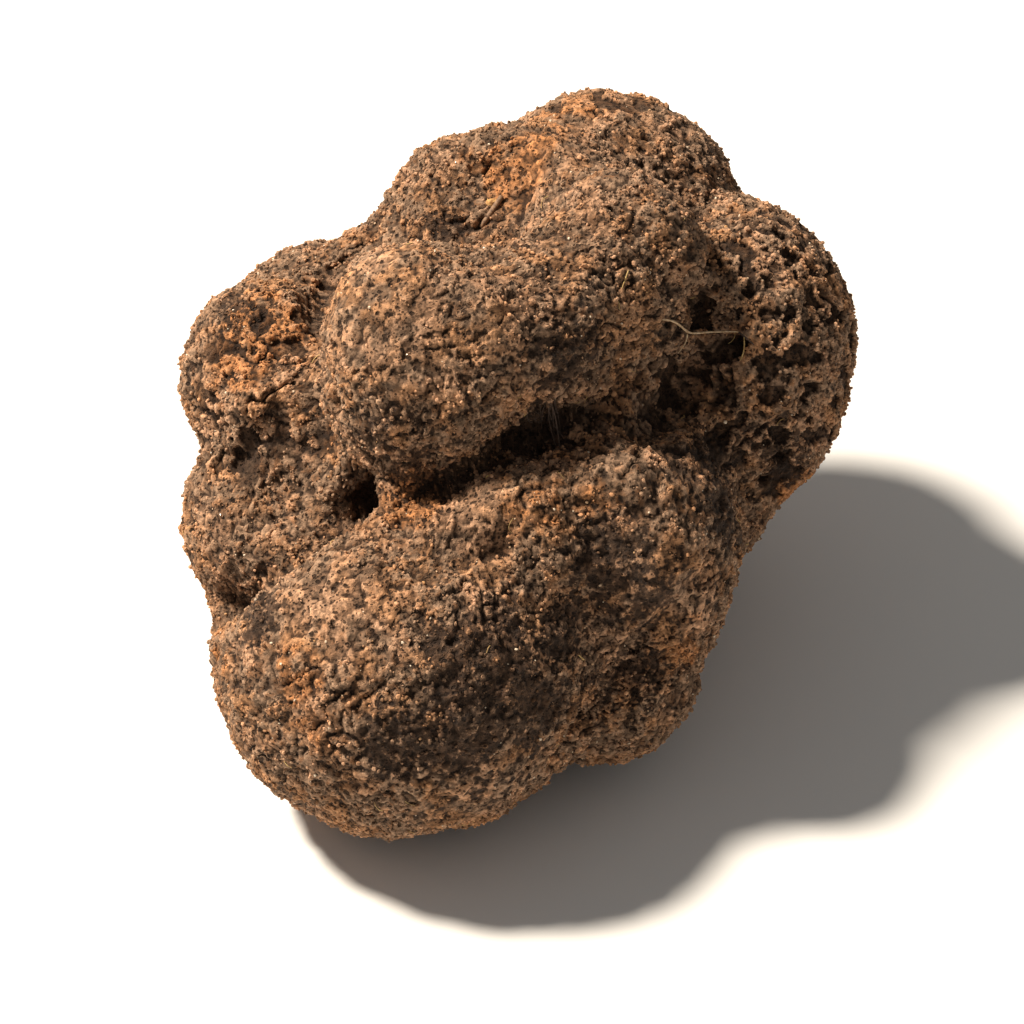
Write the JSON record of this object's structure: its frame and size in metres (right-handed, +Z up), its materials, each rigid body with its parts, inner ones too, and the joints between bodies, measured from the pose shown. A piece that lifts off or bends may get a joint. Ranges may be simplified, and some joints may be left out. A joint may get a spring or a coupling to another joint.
{
  "type": "truffle",
  "caption": "A whole, knobbly truffle as dug, its lobes grown into each other round a deep cleft, with dry earth and a few fine roots on its skin.",
  "frame": {"origin": "under the middle of the truffle's box, on the surface that it rests on", "axes": "+Z up, +Y from the large front lobe to the back lobe, +X to the right of someone who faces the front lobe"},
  "size_m": [0.0586, 0.0636, 0.0476],
  "materials": {
    "earthy_skin": "matt skin under a thin crust of dry earth, pitted, tan on top and dark brown in the creases",
    "pale_root": "pale, slightly silky root hair",
    "dark_root": "dull, dark grey-brown root",
    "root_bark": "dull grey-brown bark",
    "ochre_earth": "crumbly ochre earth"
  },
  "bodies": {
    "root": {"truffle_body": "earthy_skin", "root_hair": "pale_root", "root_thread": "dark_root", "root_stub": "root_bark", "earth_crumb": "ochre_earth"}
  },
  "joints": []
}
